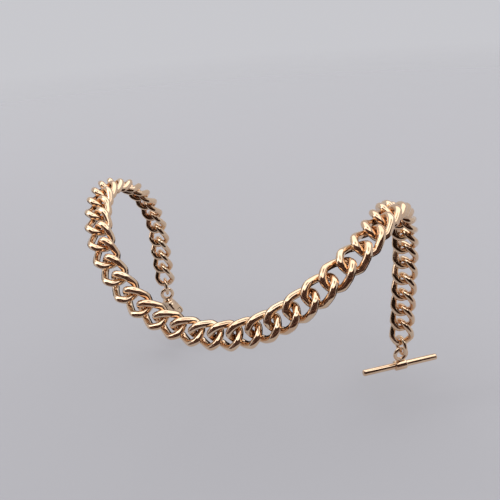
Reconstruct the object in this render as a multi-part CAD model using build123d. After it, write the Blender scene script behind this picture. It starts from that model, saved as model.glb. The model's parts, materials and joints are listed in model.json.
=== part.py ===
from build123d import *
import os
from math import asin, cos, degrees, pi, radians, sin, sqrt

# A pocket watch chain: a curb chain of round wire with a swivel clip at one end
# and a T-bar at the other. It is laid over a padded display bar, in a swag on the
# bar's front, and both ends hang down behind the bar.
#
# The bar itself is no part of the chain. Its axis is the X axis, through the
# origin. Angles round the bar are measured from its front (-Y) over its top (+Z).

# --- Curb links ---------------------------------------------------------------
LINK_COUNT = 47
ROOT_LINK = 24              # the link at the middle of the swag, which the bar holds
WIRE = 2.0                  # round wire of a link
PITCH = 5.8                 # step from link to link in the drawn-out chain
LINK_WIDTH = 8.1            # over the wire, across the chain
END_PLAY = 0.24             # slack between two hooked ends
CROSSING_PLAY = 0.58        # room between two wires where one passes over the other
STRETCHES = 4               # the oval is swept in this many equal stretches
STEPS_PER_STRETCH = 3

# --- The bar it lies on -------------------------------------------------------
BAR_RADIUS = 27.5           # over its padding
PADDING_SINK = 0.5          # how far the links press into the padding

# --- The way it lies: (distance along the bar in mm, angle round it in degrees) ---
ROOT_POINT = (0.0, 6.0)
ROOT_HEADING = 3.6          # the chain's slope on the bar's surface there, in degrees
TO_THE_LEFT = [
    (-11.5, 8.0),
    (-23.5, 18.6),
    (-35.4, 40.7),
    (-44.2, 66.0),
    (-51.2, 96.0),
    (-53.2, 120.0),
    (-53.8, 150.0),
    (-54.0, 180.0),
]
TO_THE_RIGHT = [
    (11.5, 11.0),
    (22.5, 24.3),
    (31.0, 42.0),
    (36.8, 62.0),
    (39.0, 84.0),
    (39.6, 118.0),
    (39.8, 150.0),
    (39.9, 180.0),
]

# --- Rings and what hangs in them ---------------------------------------------
HANG_PLAY = 0.12            # left between a piece and the wire that it hangs on
RING_WIRE = 1.3
RING_RADIUS = 2.9           # of a jump ring, to the middle of its wire
EYE_WIRE = 1.3
EYE_RADIUS = 2.1            # of the swivel's eye and the T-bar's loop

# --- Swivel clip --------------------------------------------------------------
STEM_RADIUS = 0.8           # of the eye's stem, which turns in the hook's collar
TURNING_FIT = 0.05          # radial clearance of the stem and of the gate on its pin
COLLAR_GAP = 0.15           # between the collar and what turns on either side of it
COLLAR_RADIUS = 2.1
COLLAR_HEIGHT = 2.0
HEAD_RADIUS = 1.35          # of the stem's riveted head
HEAD_THICKNESS = 0.9
HEAD_ROUNDING = 0.3
HOOK_WIRE = 2.2
HOOK_HALF_WIDTH = 4.4       # from the hook's middle to the middle of its wire
HOOK_STRAIGHT = 7.0         # length of the hook's straight back
TIP_RISE = 1.8              # how far the hook's tip comes up past its bend
SHOULDER_DROP = 2.6         # from the collar's lower end to the gate's pin
PIN_OFFSET = 3.8            # from the hook's middle to the gate's pin
PIN_RADIUS = 0.5
LUG_RADIUS = 1.6
LUG_THICKNESS = 0.75
GATE_THICKNESS = 1.8
GATE_SIDE_PLAY = 0.1        # between the gate and the slot that it swings in
GATE_EYE_RADIUS = 1.4
GATE_END_RADIUS = 0.7
GATE_OPENING = 28.0         # degrees that the gate swings inward
GATE_LAP = 1.0              # how far the gate reaches down past the hook's tip
GATE_SHUT_PLAY = 0.08       # between the shut gate and what it closes against
NIB_RADIUS = 0.55           # thumb nib on the gate's outer edge
NIB_SHARE = 0.55            # where the nib sits along the gate
SPRING_THICKNESS = 0.25     # the leaf that shuts the gate
SPRING_WIDTH = 1.3
SPRING_REACH = 3.6          # how far the leaf lies along the gate, from its pin
SPRING_ROOT = 2.9           # how far it goes up past the pin, into the hook's shoulder

# --- T-bar --------------------------------------------------------------------
ARM_LENGTH = 28.0
ARM_RADIUS = 1.1
ARM_END_ROUNDING = 0.6
SLEEVE_RADIUS = 1.75
SLEEVE_LENGTH = 4.2
SLEEVE_ROUNDING = 0.35
POST_RADIUS = 0.7           # the loop's foot, soldered into the sleeve

# --- Worked out from the sizes above ------------------------------------------
HALF_LENGTH = (PITCH + WIRE + END_PLAY) / 2         # of a link, to the middle of its wire
HALF_WIDTH = (LINK_WIDTH - WIRE) / 2
CORNER_RISE = (WIRE + CROSSING_PLAY) / 2            # of a link's corners out of its flat
SEAT_RADIUS = BAR_RADIUS - PADDING_SINK + CORNER_RISE + WIRE / 2
UP = Vector(0, 0, 1)


# --- Where the chain lies -----------------------------------------------------
def on_the_bar(point):
    """A point of the route on the bar's surface, rolled out flat."""
    along, angle = point
    return Vector(along, radians(angle) * SEAT_RADIUS)


def rolled_out_route(points, direction):
    """One side of the chain's middle line on the rolled-out surface, from the root link."""
    heading = Vector(direction, 0).rotate(Axis.Z, ROOT_HEADING)
    straight_down_the_back = Vector(0, 1)
    return Edge.make_spline(
        [on_the_bar(p) for p in [ROOT_POINT, *points]],
        tangents=[heading, straight_down_the_back],
    )


LEFT_ROUTE = rolled_out_route(TO_THE_LEFT, -1)
RIGHT_ROUTE = rolled_out_route(TO_THE_RIGHT, 1)


def link_plane(number):
    """Link's own frame: x along the chain towards the T-bar, z away from the bar."""
    distance = (number - ROOT_LINK) * PITCH
    route, forward = (RIGHT_ROUTE, 1) if distance >= 0 else (LEFT_ROUTE, -1)
    on_route = min(abs(distance), route.length)
    hanging = abs(distance) - on_route
    flat = route.position_at(on_route, PositionMode.LENGTH)
    heading = route.tangent_at(on_route, PositionMode.LENGTH) * forward
    angle = flat.Y / SEAT_RADIUS
    outward = Vector(0, -cos(angle), sin(angle))
    upward = Vector(0, sin(angle), cos(angle))
    middle = Vector(flat.X, 0, 0) + outward * SEAT_RADIUS - UP * hanging
    return Plane(middle, x_dir=Vector(1, 0, 0) * heading.X + upward * heading.Y, z_dir=outward)


LINK_PLANES = [link_plane(number) for number in range(1, LINK_COUNT + 1)]


# --- Curb links ---------------------------------------------------------------
def link_point(turn):
    """The wire's middle line: an oval whose corners rise and dip in turn."""
    return Vector(
        HALF_LENGTH * cos(turn),
        HALF_WIDTH * sin(turn),
        -CORNER_RISE * sin(2 * turn),
    )


def link_direction(turn):
    return Vector(
        -HALF_LENGTH * sin(turn),
        HALF_WIDTH * cos(turn),
        -2 * CORNER_RISE * cos(2 * turn),
    ).normalized()


def link_stretch(start, end):
    """One stretch of the link's wire, between two turns of the oval."""
    step = (end - start) / STEPS_PER_STRETCH
    turns = [start + step * i for i in range(STEPS_PER_STRETCH + 1)]
    path = Edge.make_spline(
        [link_point(turn) for turn in turns],
        tangents=[link_direction(start), link_direction(end)],
    )
    return sweep(Plane(path @ 0, z_dir=path % 0) * Circle(WIRE / 2), path)


def curb_link():
    """A closed link of round wire, lying flat in XY and drawn out along X."""
    step = 2 * pi / STRETCHES
    stretches = [link_stretch(step * i, step * (i + 1)) for i in range(STRETCHES)]
    return stretches[0].fuse(*stretches[1:])


def chain_links():
    link = curb_link()
    return {
        f"curb_link_{number:02d}": link.moved(plane.location)
        for number, plane in enumerate(LINK_PLANES, 1)
    }


# --- How a piece hangs in the one above ---------------------------------------
def end_wire(number, end):
    """Frame on a link's end wire: x along the wire, y down the hanging chain."""
    plane = LINK_PLANES[number - 1]
    down = plane.x_dir * end
    wire = (plane.y_dir * HALF_WIDTH - plane.z_dir * 2 * CORNER_RISE * end).normalized()
    middle = plane.origin + plane.x_dir * HALF_LENGTH * end
    return Plane(middle, x_dir=wire, z_dir=wire.cross(down))


def hung_ring_plane(holder, holder_wire, ring_wire, ring_radius):
    """Frame of a ring that hangs on a wire: z along that wire, y down."""
    sunk = (holder_wire + ring_wire) / 2 + HANG_PLAY
    middle = holder.origin + holder.y_dir * (ring_radius - sunk)
    return Plane(middle, x_dir=holder.y_dir.cross(holder.x_dir), z_dir=holder.x_dir)


def lowest_wire(ring_plane, ring_radius):
    """Frame on the ring's lowest wire: x along it, y down."""
    middle = ring_plane.origin + ring_plane.y_dir * ring_radius
    return Plane(middle, x_dir=ring_plane.x_dir, z_dir=ring_plane.x_dir.cross(ring_plane.y_dir))


def ring(plane, radius, wire):
    return plane * Torus(radius, wire / 2)


def upright_cylinder(radius, top, height):
    """A cylinder about Y whose upper end is at y = top."""
    standing = Plane(origin=(0, top - height / 2, 0), z_dir=(0, 1, 0))
    return standing * Cylinder(radius, height)


SWIVEL_RING_HOLDER = end_wire(1, -1)
SWIVEL_RING = hung_ring_plane(SWIVEL_RING_HOLDER, WIRE, RING_WIRE, RING_RADIUS)
SWIVEL_EYE_HOLDER = lowest_wire(SWIVEL_RING, RING_RADIUS)
SWIVEL_EYE = hung_ring_plane(SWIVEL_EYE_HOLDER, RING_WIRE, EYE_WIRE, EYE_RADIUS)
EYE_FOOT = lowest_wire(SWIVEL_EYE, EYE_RADIUS)
# the hook's own frame: x across the hook, y up the stem, z out of its flat side
HOOK_PLANE = Plane(EYE_FOOT.origin, x_dir=(1, 0, 0), z_dir=(0, -1, 0))

T_BAR_RING_HOLDER = end_wire(LINK_COUNT, 1)
T_BAR_RING = hung_ring_plane(T_BAR_RING_HOLDER, WIRE, RING_WIRE, RING_RADIUS)
T_BAR_LOOP_HOLDER = lowest_wire(T_BAR_RING, RING_RADIUS)
T_BAR_LOOP = hung_ring_plane(T_BAR_LOOP_HOLDER, RING_WIRE, EYE_WIRE, EYE_RADIUS)
LOOP_FOOT = lowest_wire(T_BAR_LOOP, EYE_RADIUS)
# the T-bar's own frame: x along the arm, y up, its origin in the middle of the arm
ARM_PLANE = Plane(
    LOOP_FOOT.origin - UP * (EYE_WIRE / 2 + SLEEVE_RADIUS),
    x_dir=LOOP_FOOT.x_dir,
    z_dir=LOOP_FOOT.x_dir.cross(UP),
)


# --- Swivel clip, in the hook's frame -----------------------------------------
COLLAR_TOP = -(EYE_WIRE / 2 + COLLAR_GAP)
COLLAR_FOOT = COLLAR_TOP - COLLAR_HEIGHT
HEAD_TOP = COLLAR_FOOT - COLLAR_GAP
PIN = Vector(PIN_OFFSET, COLLAR_FOOT - SHOULDER_DROP)
BACK_TOP = PIN.Y - LUG_RADIUS
BEND_CENTRE = BACK_TOP - HOOK_STRAIGHT
TIP = Vector(HOOK_HALF_WIDTH, BEND_CENTRE + TIP_RISE)
SLOT_WIDTH = GATE_THICKNESS + 2 * GATE_SIDE_PLAY
LUG_SPAN = SLOT_WIDTH + 2 * LUG_THICKNESS


def turned(direction, angle):
    return direction.rotate(Axis.Z, angle)


# The gate's outer edge runs past the hook's tip with just the shut play. Its
# inner edge mirrors it in the line from the pin to the gate's end.
PIN_TO_TIP = TIP - PIN
TIP_OFF_GATE = HOOK_WIRE / 2 + GATE_SHUT_PLAY + GATE_EYE_RADIUS
OUTER_EDGE = turned(PIN_TO_TIP.normalized(), -degrees(asin(TIP_OFF_GATE / PIN_TO_TIP.length)))
GATE_REACH = sqrt(PIN_TO_TIP.length**2 - TIP_OFF_GATE**2) + GATE_LAP
GATE_NARROWING = GATE_EYE_RADIUS - GATE_END_RADIUS
GATE_END = PIN + OUTER_EDGE * GATE_REACH + turned(OUTER_EDGE, 90) * GATE_NARROWING
GATE_TAPER = degrees(asin(GATE_NARROWING / (GATE_END - PIN).length))
INNER_EDGE = turned(OUTER_EDGE, 2 * GATE_TAPER)


def swivel_eye():
    """The eye with its stem, riveted over below the hook's collar."""
    stem = upright_cylinder(STEM_RADIUS, 0, -HEAD_TOP)
    head = upright_cylinder(HEAD_RADIUS, HEAD_TOP, HEAD_THICKNESS)
    head = fillet(head.edges().group_by(Axis.Y)[0], HEAD_ROUNDING)
    return ring(SWIVEL_EYE, EYE_RADIUS, EYE_WIRE).fuse(HOOK_PLANE * stem, HOOK_PLANE * head)


def hook_bar():
    """The hook's round bar: down the back, round the bend and up to the tip."""
    shoulder = Vector(-COLLAR_RADIUS / 2, COLLAR_FOOT + HOOK_WIRE / 2)
    corner = Vector(-HOOK_HALF_WIDTH, BACK_TOP)
    back = Line(corner, Vector(-HOOK_HALF_WIDTH, BEND_CENTRE))
    neck = Spline(shoulder, corner, tangents=[corner - shoulder, (0, -1)])
    bend = CenterArc((0, BEND_CENTRE), HOOK_HALF_WIDTH, 180, 180)
    rise = Line(bend @ 1, TIP)
    path = Wire([neck, back, bend, rise])
    bar = sweep(Plane(path @ 0, z_dir=path % 0) * Circle(HOOK_WIRE / 2), path)
    return bar.fuse(Pos(TIP) * Sphere(HOOK_WIRE / 2))


def gate_room():
    """What the gate needs between the lugs, from shut to fully open."""
    opened = PIN + turned(GATE_END - PIN, -GATE_OPENING)
    ends = [Pos(end) * Circle(GATE_END_RADIUS + GATE_SIDE_PLAY) for end in (GATE_END, opened)]
    eye = Pos(PIN) * Circle(LUG_RADIUS + GATE_SIDE_PLAY)
    outline = make_hull(eye.edges() + ends[0].edges() + ends[1].edges())
    return extrude(outline, SLOT_WIDTH / 2, both=True)


def gate_shoulder():
    """The block that carries the gate's pin, slotted for the gate."""
    root = Vector(COLLAR_RADIUS / 2, COLLAR_FOOT)
    leaning = Plane((root + PIN) / 2, x_dir=PIN - root, z_dir=(0, 0, 1))
    outline = leaning * SlotCenterToCenter((PIN - root).length, 2 * LUG_RADIUS)
    return extrude(outline, LUG_SPAN / 2, both=True) - gate_room()


def swivel_hook():
    collar = upright_cylinder(COLLAR_RADIUS, COLLAR_TOP, COLLAR_HEIGHT)
    stem_bore = upright_cylinder(STEM_RADIUS + TURNING_FIT, COLLAR_TOP, COLLAR_HEIGHT)
    head_room = upright_cylinder(
        HEAD_RADIUS + COLLAR_GAP, COLLAR_FOOT, HEAD_THICKNESS + 2 * COLLAR_GAP
    )
    pin_bore = Pos(PIN) * Cylinder(PIN_RADIUS, LUG_SPAN)
    body = collar.fuse(hook_bar(), gate_shoulder())
    return HOOK_PLANE * (body - stem_bore - head_room - pin_bore - spring_leaf())


def gate_pin():
    return HOOK_PLANE * Pos(PIN) * Cylinder(PIN_RADIUS, LUG_SPAN)


def swivel_gate():
    """The sprung tongue, shut against the inside of the hook's tip."""
    eye = Pos(PIN) * Circle(GATE_EYE_RADIUS)
    end = Pos(GATE_END) * Circle(GATE_END_RADIUS)
    along = OUTER_EDGE * GATE_REACH * NIB_SHARE
    nib = Pos(PIN + along + turned(OUTER_EDGE, 90) * GATE_EYE_RADIUS) * Circle(NIB_RADIUS)
    blank = extrude(make_hull(eye.edges() + end.edges()) + nib, GATE_THICKNESS / 2, both=True)
    return HOOK_PLANE * (blank - Pos(PIN) * Cylinder(PIN_RADIUS + TURNING_FIT, GATE_THICKNESS))


def spring_leaf():
    """A flat leaf along the gate's inner edge, rooted in the hook's shoulder."""
    inward = turned(INNER_EDGE, -90)
    middle = PIN + INNER_EDGE * (SPRING_REACH - SPRING_ROOT) / 2
    middle += inward * (GATE_EYE_RADIUS + GATE_SHUT_PLAY + SPRING_THICKNESS / 2)
    lying = Plane(middle, x_dir=INNER_EDGE, z_dir=(0, 0, 1))
    return lying * Box(SPRING_REACH + SPRING_ROOT, SPRING_THICKNESS, SPRING_WIDTH)


def gate_spring():
    return HOOK_PLANE * spring_leaf()


# --- T-bar, in the arm's frame ------------------------------------------------
def along_arm(radius, length):
    return Plane(origin=(0, 0, 0), z_dir=(1, 0, 0)) * Cylinder(radius, length)


def t_bar_arm():
    arm = along_arm(ARM_RADIUS, ARM_LENGTH)
    return ARM_PLANE * fillet(arm.edges().filter_by(GeomType.CIRCLE), ARM_END_ROUNDING)


def t_bar_sleeve():
    sleeve = along_arm(SLEEVE_RADIUS, SLEEVE_LENGTH)
    sleeve = fillet(sleeve.edges().filter_by(GeomType.CIRCLE), SLEEVE_ROUNDING)
    post_hole = upright_cylinder(POST_RADIUS, SLEEVE_RADIUS, SLEEVE_RADIUS)
    return ARM_PLANE * (sleeve - post_hole - along_arm(ARM_RADIUS, SLEEVE_LENGTH))


def t_bar_loop():
    """The loop and its foot, which stands in the sleeve on the arm."""
    post = upright_cylinder(POST_RADIUS, SLEEVE_RADIUS + EYE_WIRE / 2, SLEEVE_RADIUS + EYE_WIRE / 2)
    post -= along_arm(ARM_RADIUS, SLEEVE_LENGTH)
    return ring(T_BAR_LOOP, EYE_RADIUS, EYE_WIRE).fuse(ARM_PLANE * post)


# --- The whole chain ----------------------------------------------------------
def chain():
    return chain_links() | {
        "swivel_jump_ring": ring(SWIVEL_RING, RING_RADIUS, RING_WIRE),
        "swivel_eye": swivel_eye(),
        "swivel_hook": swivel_hook(),
        "swivel_gate": swivel_gate(),
        "gate_pin": gate_pin(),
        "gate_spring": gate_spring(),
        "t_bar_jump_ring": ring(T_BAR_RING, RING_RADIUS, RING_WIRE),
        "t_bar_loop": t_bar_loop(),
        "t_bar_sleeve": t_bar_sleeve(),
        "t_bar_arm": t_bar_arm(),
    }


os.makedirs("parts", exist_ok=True)
for name, piece in chain().items():
    export_step(piece, f"parts/{name}.step")
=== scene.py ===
import json
from math import cos, radians, sin

import bmesh
import bpy
from mathutils import Matrix, Vector


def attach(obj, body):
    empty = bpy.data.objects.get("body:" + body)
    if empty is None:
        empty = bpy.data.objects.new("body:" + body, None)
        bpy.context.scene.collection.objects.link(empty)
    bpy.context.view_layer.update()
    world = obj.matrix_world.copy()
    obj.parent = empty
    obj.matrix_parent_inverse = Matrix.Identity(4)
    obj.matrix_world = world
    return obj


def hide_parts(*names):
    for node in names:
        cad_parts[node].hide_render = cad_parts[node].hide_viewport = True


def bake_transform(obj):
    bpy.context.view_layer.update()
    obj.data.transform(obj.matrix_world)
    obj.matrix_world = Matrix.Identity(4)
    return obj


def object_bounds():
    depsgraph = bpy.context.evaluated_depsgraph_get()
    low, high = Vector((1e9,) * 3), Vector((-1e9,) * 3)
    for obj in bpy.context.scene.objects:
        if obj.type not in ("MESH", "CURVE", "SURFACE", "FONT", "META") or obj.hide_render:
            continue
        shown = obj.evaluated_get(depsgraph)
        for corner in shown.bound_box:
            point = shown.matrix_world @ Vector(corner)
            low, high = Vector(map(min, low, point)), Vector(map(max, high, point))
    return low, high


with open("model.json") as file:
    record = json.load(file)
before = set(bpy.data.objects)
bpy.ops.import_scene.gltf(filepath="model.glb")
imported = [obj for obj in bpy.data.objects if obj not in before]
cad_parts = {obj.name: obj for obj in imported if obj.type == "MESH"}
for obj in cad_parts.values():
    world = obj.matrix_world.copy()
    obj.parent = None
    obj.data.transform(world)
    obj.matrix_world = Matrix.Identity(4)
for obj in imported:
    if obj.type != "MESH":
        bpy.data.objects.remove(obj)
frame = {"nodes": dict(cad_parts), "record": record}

cad_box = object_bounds()
scene = bpy.context.scene
record = frame["record"]

# A gold pocket watch chain, draped as it lies over a display bar. The bar is not
# part of it, so the chain hangs in the air over a pale floor.

# --- Sizes, in metres ---------------------------------------------------------
MERGE_DISTANCE = 1e-6
SMOOTH_UP_TO = radians(38)
LEAF_BEND = 0.0012          # how far below the gate's pin the leaf spring's mesh is cut across
LEAF_STEPS = 8
FLOOR_HEIGHT = cad_box[0].z - 0.006
FLOOR_FULL = 0.25           # out to here the floor is solid
FLOOR_RADIUS = 1.4
FLOOR_CORNERS = 64
ROLL_RADIUS = 0.013         # of the rolled card inside the drape
ROLL_LENGTH = 0.4
ROLL_CORNERS = 64
CARD_RADIUS = 0.9           # of the curved dark card that stands in front
CARD_NEAR = 0.11            # where its foot starts on the floor
CARD_HEIGHT = 0.84
CARD_LIFT = 0.001           # of its foot off the floor
CARD_MIDDLE = radians(15)   # the way that it faces, turned from straight in front
CARD_SPREAD = radians(140)
CARD_STEPS = 40
MOUTH_RADIUS = 0.25         # of the greyer patch in the middle of the ceiling
MOUTH_PLACE = (0.1, -0.2, 0.9)
MOUTH_CORNERS = 48

# --- Camera -------------------------------------------------------------------
CAMERA_PLACE = Vector((0.06785, -0.13446, 0.08304))
CAMERA_AZIMUTH = radians(26.81)
CAMERA_ELEVATION = radians(24.454)
CAMERA_ROLL = -0.07527
CAMERA_LENS = 40.32
CAMERA_SENSOR = 36.0
NEAREST_SEEN = 0.01

# --- Light --------------------------------------------------------------------
OVERHEAD_PLACE = Vector((-0.15, -0.05, 1.0))
OVERHEAD_SIZE = (2.0, 2.1)
OVERHEAD_POWER = 15.5
LEFT_PLACE = Vector((-0.9, -0.45, 0.6))
LEFT_SIZE = (0.4, 0.7)
LEFT_POWER = 1.8
LAMP_COLOUR = (1.0, 0.98, 0.95)
SURROUNDINGS = (0.58, 0.58, 0.61)

# --- Colours of the studio's floor and cards ----------------------------------
FLOOR_COLOUR = (0.46, 0.46, 0.485)
VELVET = (0.030, 0.017, 0.012)
DARK_CARD = (0.045, 0.024, 0.019)
# painted sheen: the lighter, rosier streaks over the dark card, which the gold mirrors as fine lines
ROSY_SHEEN_STREAK = (0.30, 0.19, 0.17)
GREY_CARD = (0.90, 0.90, 0.85)
# size of the painted sheen streaks on the dark card
SHEEN_STREAK_SCALE = 7

# --- Gold and steel -----------------------------------------------------------
PALE_GOLD = (0.87, 0.67, 0.475)
MID_GOLD = (0.84, 0.61, 0.415)
ROSE_GOLD = (0.80, 0.55, 0.365)
DARK_STEEL = (0.40, 0.38, 0.35)
BRIGHT_STEEL = (0.60, 0.58, 0.55)
CLOUD_SCALE = 160           # of the rubbed patches, per metre
GRAIN_SCALE = 900
HAIRLINE_TURN = (radians(31), radians(18), radians(40))
HAIRLINE_SCALE = (6000, 420, 420)
BRUSH_SCALE = 2500
BRIGHTEST = 0.05            # roughness of the cleanest gold
DULLEST_CHAIN = 0.12        # and of the dullest
DULLEST_FITTINGS = 0.11
HAIRLINE_DULLNESS = 0.06
DENT_DEPTH = 0.0002
GRAIN_DEPTH = 0.00003


def make_camera():
    back = Vector((
        sin(CAMERA_AZIMUTH) * cos(CAMERA_ELEVATION),
        -cos(CAMERA_AZIMUTH) * cos(CAMERA_ELEVATION),
        sin(CAMERA_ELEVATION),
    ))
    level_right = Vector((0, 0, 1)).cross(back).normalized()
    level_up = back.cross(level_right)
    right = level_right * cos(CAMERA_ROLL) + level_up * sin(CAMERA_ROLL)
    up = level_up * cos(CAMERA_ROLL) - level_right * sin(CAMERA_ROLL)
    data = bpy.data.cameras.new("camera")
    data.lens = CAMERA_LENS
    data.sensor_width = CAMERA_SENSOR
    data.clip_start = NEAREST_SEEN
    camera = bpy.data.objects.new("camera", data)
    turn = Matrix((right, up, back)).transposed().to_4x4()
    camera.matrix_world = Matrix.Translation(CAMERA_PLACE) @ turn
    scene.collection.objects.link(camera)
    scene.camera = camera


# --- Shader helpers -----------------------------------------------------------
def new_material(name):
    """A material with an empty node tree, and the tree."""
    material = bpy.data.materials.new(name)
    material.use_nodes = True
    material.node_tree.nodes.clear()
    return material, material.node_tree


def add(tree, kind, **values):
    """A node with its input sockets set by name."""
    node = tree.nodes.new(kind)
    for key, value in values.items():
        node.inputs[key.replace("_", " ")].default_value = value
    return node


def show(tree, shader):
    """Joins a shader node to the material's output."""
    out = tree.nodes.new("ShaderNodeOutputMaterial")
    tree.links.new(shader.outputs["BSDF"], out.inputs["Surface"])


def object_place(tree):
    return tree.nodes.new("ShaderNodeTexCoord").outputs["Object"]


def noise(tree, place, scale, detail=3.0, roughness=0.55):
    node = add(tree, "ShaderNodeTexNoise", Scale=scale, Detail=detail, Roughness=roughness)
    tree.links.new(place, node.inputs["Vector"])
    return node.outputs["Fac"]


def remap(tree, value, low, high, to_low, to_high):
    node = tree.nodes.new("ShaderNodeMapRange")
    for socket, number in zip(node.inputs[1:5], (low, high, to_low, to_high)):
        socket.default_value = number
    tree.links.new(value, node.inputs[0])
    return node.outputs[0]


def ramp(tree, value, stops):
    node = tree.nodes.new("ShaderNodeValToRGB")
    elements = node.color_ramp.elements
    while len(elements) < len(stops):
        elements.new(0.5)
    for element, (place, colour) in zip(elements, stops):
        element.position = place
        element.color = (*colour, 1)
    tree.links.new(value, node.inputs["Fac"])
    return node.outputs["Color"]


def bump(tree, height, depth, strength, normal=None):
    """Unevenness of a surface, laid over what is uneven already."""
    node = add(tree, "ShaderNodeBump", Strength=strength, Distance=depth)
    tree.links.new(height, node.inputs["Height"])
    if normal:
        tree.links.new(normal, node.inputs["Normal"])
    return node.outputs["Normal"]


# --- Finishes -----------------------------------------------------------------
def polished_gold(name, dullest):
    """Old polished gold: cloudy rubbed patches, hairline scratches and a rosier tone in places."""
    material, tree = new_material(name)
    place = object_place(tree)
    clouds = noise(tree, place, CLOUD_SCALE, detail=4)
    grain = noise(tree, place, GRAIN_SCALE, detail=4, roughness=0.65)
    stretch = add(
        tree, "ShaderNodeMapping", Rotation=HAIRLINE_TURN, Scale=HAIRLINE_SCALE
    )
    tree.links.new(place, stretch.inputs["Vector"])
    hairlines = noise(tree, stretch.outputs["Vector"], 1, detail=2, roughness=0.6)

    colour = ramp(tree, clouds, [(0.34, ROSE_GOLD), (0.5, MID_GOLD), (0.66, PALE_GOLD)])
    roughness = tree.nodes.new("ShaderNodeMath")
    roughness.operation = "ADD"
    haze = remap(tree, clouds, 0.35, 0.7, BRIGHTEST, dullest)
    scratches = remap(tree, hairlines, 0.55, 0.75, 0.0, HAIRLINE_DULLNESS)
    tree.links.new(haze, roughness.inputs[0])
    tree.links.new(scratches, roughness.inputs[1])

    normal = bump(tree, clouds, DENT_DEPTH, 0.10)
    normal = bump(tree, grain, GRAIN_DEPTH, 0.06, normal)
    normal = bump(tree, hairlines, GRAIN_DEPTH, 0.05, normal)

    gold = add(tree, "ShaderNodeBsdfPrincipled", Metallic=1.0)
    tree.links.new(colour, gold.inputs["Base Color"])
    tree.links.new(roughness.outputs[0], gold.inputs["Roughness"])
    tree.links.new(normal, gold.inputs["Normal"])
    show(tree, gold)
    return material


def spring_steel():
    material, tree = new_material("spring_steel")
    brushed = noise(tree, object_place(tree), BRUSH_SCALE)
    steel = add(tree, "ShaderNodeBsdfPrincipled", Metallic=1.0)
    tint = ramp(tree, brushed, [(0.3, DARK_STEEL), (0.7, BRIGHT_STEEL)])
    tree.links.new(tint, steel.inputs["Base Color"])
    tree.links.new(remap(tree, brushed, 0.3, 0.7, 0.25, 0.45), steel.inputs["Roughness"])
    show(tree, steel)
    return material


def matt_paint(name, colour):
    material, tree = new_material(name)
    show(tree, add(tree, "ShaderNodeBsdfDiffuse", Color=(*colour, 1), Roughness=1.0))
    return material


def streaked_paint():
    """Dark card with painted sheen: lighter, rosier streaks, which the gold mirrors as fine lines."""
    material = matt_paint("dark_card", DARK_CARD)
    tree = material.node_tree
    sheen_streaks = noise(tree, object_place(tree), SHEEN_STREAK_SCALE, roughness=0.6)
    # painted sheen: the card turns lighter and rosier along the streaks
    colour = ramp(tree, sheen_streaks, [(0.50, DARK_CARD), (0.62, ROSY_SHEEN_STREAK)])
    paint = next(node for node in tree.nodes if node.type == "BSDF_DIFFUSE")
    tree.links.new(colour, paint.inputs["Color"])
    return material


def clear_where(material, clearness):
    """Mixes the material towards transparent by a number from 0 to 1."""
    tree = material.node_tree
    out = next(node for node in tree.nodes if node.type == "OUTPUT_MATERIAL")
    paint = out.inputs["Surface"].links[0].from_socket
    mix = tree.nodes.new("ShaderNodeMixShader")
    tree.links.new(clearness(tree), mix.inputs["Fac"])
    tree.links.new(paint, mix.inputs[1])
    tree.links.new(tree.nodes.new("ShaderNodeBsdfTransparent").outputs[0], mix.inputs[2])
    tree.links.new(mix.outputs[0], out.inputs["Surface"])
    return material


def from_behind(tree):
    """A card is clear from behind, so a piece that moves past it isn't shut in."""
    return tree.nodes.new("ShaderNodeNewGeometry").outputs["Backfacing"]


def far_out(tree):
    """The floor fades into the surroundings, which are of its own colour."""
    distance = tree.nodes.new("ShaderNodeVectorMath")
    distance.operation = "LENGTH"
    tree.links.new(object_place(tree), distance.inputs[0])
    fade = remap(tree, distance.outputs["Value"], FLOOR_FULL, FLOOR_RADIUS, 0, 1)
    fade.node.interpolation_type = "SMOOTHSTEP"
    return fade


# --- The chain's pieces -------------------------------------------------------
def body_of(node_name):
    bodies = record["behaviour"]["bodies"]
    return next(body for body, nodes in bodies.items() if node_name in nodes)


def slot_of(node_name):
    return next(s["material_slot"] for s in record["subparts"] if s["node"] == node_name)


def polished_piece(node_name, material):
    """A piece with its curved faces shaded smooth, in place of the node of the same shape."""
    node = frame["nodes"][node_name]
    work = bmesh.new()
    work.from_mesh(node.data)
    bmesh.ops.remove_doubles(work, verts=work.verts, dist=MERGE_DISTANCE)
    mesh = bpy.data.meshes.new(f"{node_name}_polished")
    work.to_mesh(mesh)
    work.free()
    mesh.shade_smooth()
    mesh.set_sharp_from_angle(angle=SMOOTH_UP_TO)
    mesh.materials.clear()
    mesh.materials.append(material)
    piece = bpy.data.objects.new(f"{node_name}_polished", mesh)
    scene.collection.objects.link(piece)
    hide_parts(node_name)
    return piece


def follow_gate(leaf):
    """The leaf spring stays in the shoulder above the gate's pin; its mesh is cut across in level
    steps from the pin down to LEAF_BEND below it.
    """
    joints = record["behaviour"]["joints"]
    pin = Vector(next(j["pos_m"] for j in joints if j["child"] == "swivel_gate"))
    bend = Vector((0, 0, -LEAF_BEND))
    work = bmesh.new()
    work.from_mesh(leaf.data)
    for step in range(LEAF_STEPS + 1):
        bmesh.ops.bisect_plane(
            work,
            geom=[*work.verts, *work.edges, *work.faces],
            plane_co=pin + bend * step / LEAF_STEPS,
            plane_no=bend.normalized(),
        )
    work.to_mesh(leaf.data)
    work.free()
    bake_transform(leaf)


# --- Floor and cards ----------------------------------------------------------
def stage_object(name, work, material):
    mesh = bpy.data.meshes.new(name)
    work.to_mesh(mesh)
    work.free()
    mesh.materials.append(material)
    thing = bpy.data.objects.new(name, mesh)
    scene.collection.objects.link(thing)
    return thing


def flat_disc(radius, corners, place):
    work = bmesh.new()
    bmesh.ops.create_circle(work, cap_ends=True, segments=corners, radius=radius)
    bmesh.ops.translate(work, verts=work.verts, vec=place)
    return work


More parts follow.
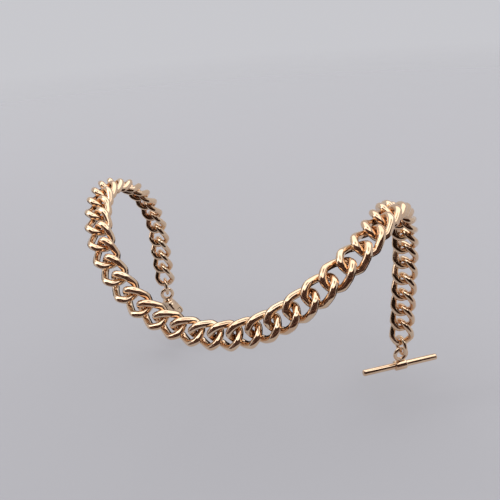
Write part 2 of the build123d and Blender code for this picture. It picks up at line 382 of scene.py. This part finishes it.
def make_floor():
    disc = flat_disc(FLOOR_RADIUS, FLOOR_CORNERS, (0, 0, FLOOR_HEIGHT))
    stage_object("floor", disc, clear_where(matt_paint("pale_floor", FLOOR_COLOUR), far_out))


def only_in_reflections(card):
    """The cards darken and grey what the gold mirrors, and nothing else sees them."""
    card.visible_camera = False
    card.visible_diffuse = False
    card.visible_shadow = False
    card.visible_transmission = False


def black_roll():
    """A dark roll inside the drape, clear from behind."""
    roll = bmesh.new()
    bmesh.ops.create_cone(
        roll, segments=ROLL_CORNERS, radius1=ROLL_RADIUS, radius2=ROLL_RADIUS, depth=ROLL_LENGTH
    )
    bmesh.ops.rotate(roll, verts=roll.verts, matrix=Matrix.Rotation(radians(90), 3, "Y"))
    bmesh.ops.recalc_face_normals(roll, faces=roll.faces)
    paint = clear_where(matt_paint("velvet_black", VELVET), from_behind)
    return stage_object("black_roll", roll, paint)


def dark_card():
    """A curved card that lies on the floor in front and stands up at its far edge."""
    card = bmesh.new()
    near = card.verts.new((0, -CARD_NEAR, FLOOR_HEIGHT + CARD_LIFT))
    foot = card.verts.new((0, -CARD_RADIUS, FLOOR_HEIGHT + CARD_LIFT))
    top = card.verts.new((0, -CARD_RADIUS, FLOOR_HEIGHT + CARD_HEIGHT))
    edges = [card.edges.new((near, foot)), card.edges.new((foot, top))]
    first_side = Matrix.Rotation(CARD_MIDDLE - CARD_SPREAD / 2, 3, "Z")
    bmesh.ops.rotate(card, verts=card.verts, matrix=first_side)
    bmesh.ops.spin(
        card, geom=[near, foot, top, *edges], axis=(0, 0, 1), angle=CARD_SPREAD, steps=CARD_STEPS
    )
    return stage_object("dark_card", card, streaked_paint())


def ceiling_mouth():
    """A greyer patch under the overhead softbox."""
    disc = flat_disc(MOUTH_RADIUS, MOUTH_CORNERS, MOUTH_PLACE)
    return stage_object("ceiling_mouth", disc, matt_paint("grey_card", GREY_CARD))


# --- Light --------------------------------------------------------------------
def softbox(name, place, turn, size, power):
    data = bpy.data.lights.new(name, "AREA")
    data.shape = "RECTANGLE"
    data.size, data.size_y = size
    data.energy = power
    data.color = LAMP_COLOUR
    light = bpy.data.objects.new(name, data)
    light.visible_camera = False
    light.location = place
    light.rotation_euler = turn
    scene.collection.objects.link(light)


def make_light():
    """One softbox straight overhead, one at the left facing the drape, and a pale world."""
    facing_down = (0, 0, 0)
    facing_drape = LEFT_PLACE.to_track_quat("Z", "Y").to_euler()
    softbox("overhead_softbox", OVERHEAD_PLACE, facing_down, OVERHEAD_SIZE, OVERHEAD_POWER)
    softbox("left_softbox", LEFT_PLACE, facing_drape, LEFT_SIZE, LEFT_POWER)
    world = bpy.data.worlds.new("studio")
    scene.world = world
    world.use_nodes = True
    background = world.node_tree.nodes["Background"]
    background.inputs["Color"].default_value = (*SURROUNDINGS, 1)


# --- Making it all ------------------------------------------------------------
make_camera()
finishes = {
    "chain_gold": polished_gold("chain_gold", DULLEST_CHAIN),
    "fitting_gold": polished_gold("fitting_gold", DULLEST_FITTINGS),
    "spring_steel": spring_steel(),
}
for node_name in sorted(frame["nodes"]):
    piece = polished_piece(node_name, finishes[slot_of(node_name)])
    if node_name == "gate_spring":
        follow_gate(piece)
    else:
        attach(piece, body_of(node_name))
make_floor()
for make_card in (black_roll, dark_card, ceiling_mouth):
    only_in_reflections(make_card())
make_light()

scene.view_settings.view_transform = "Standard"
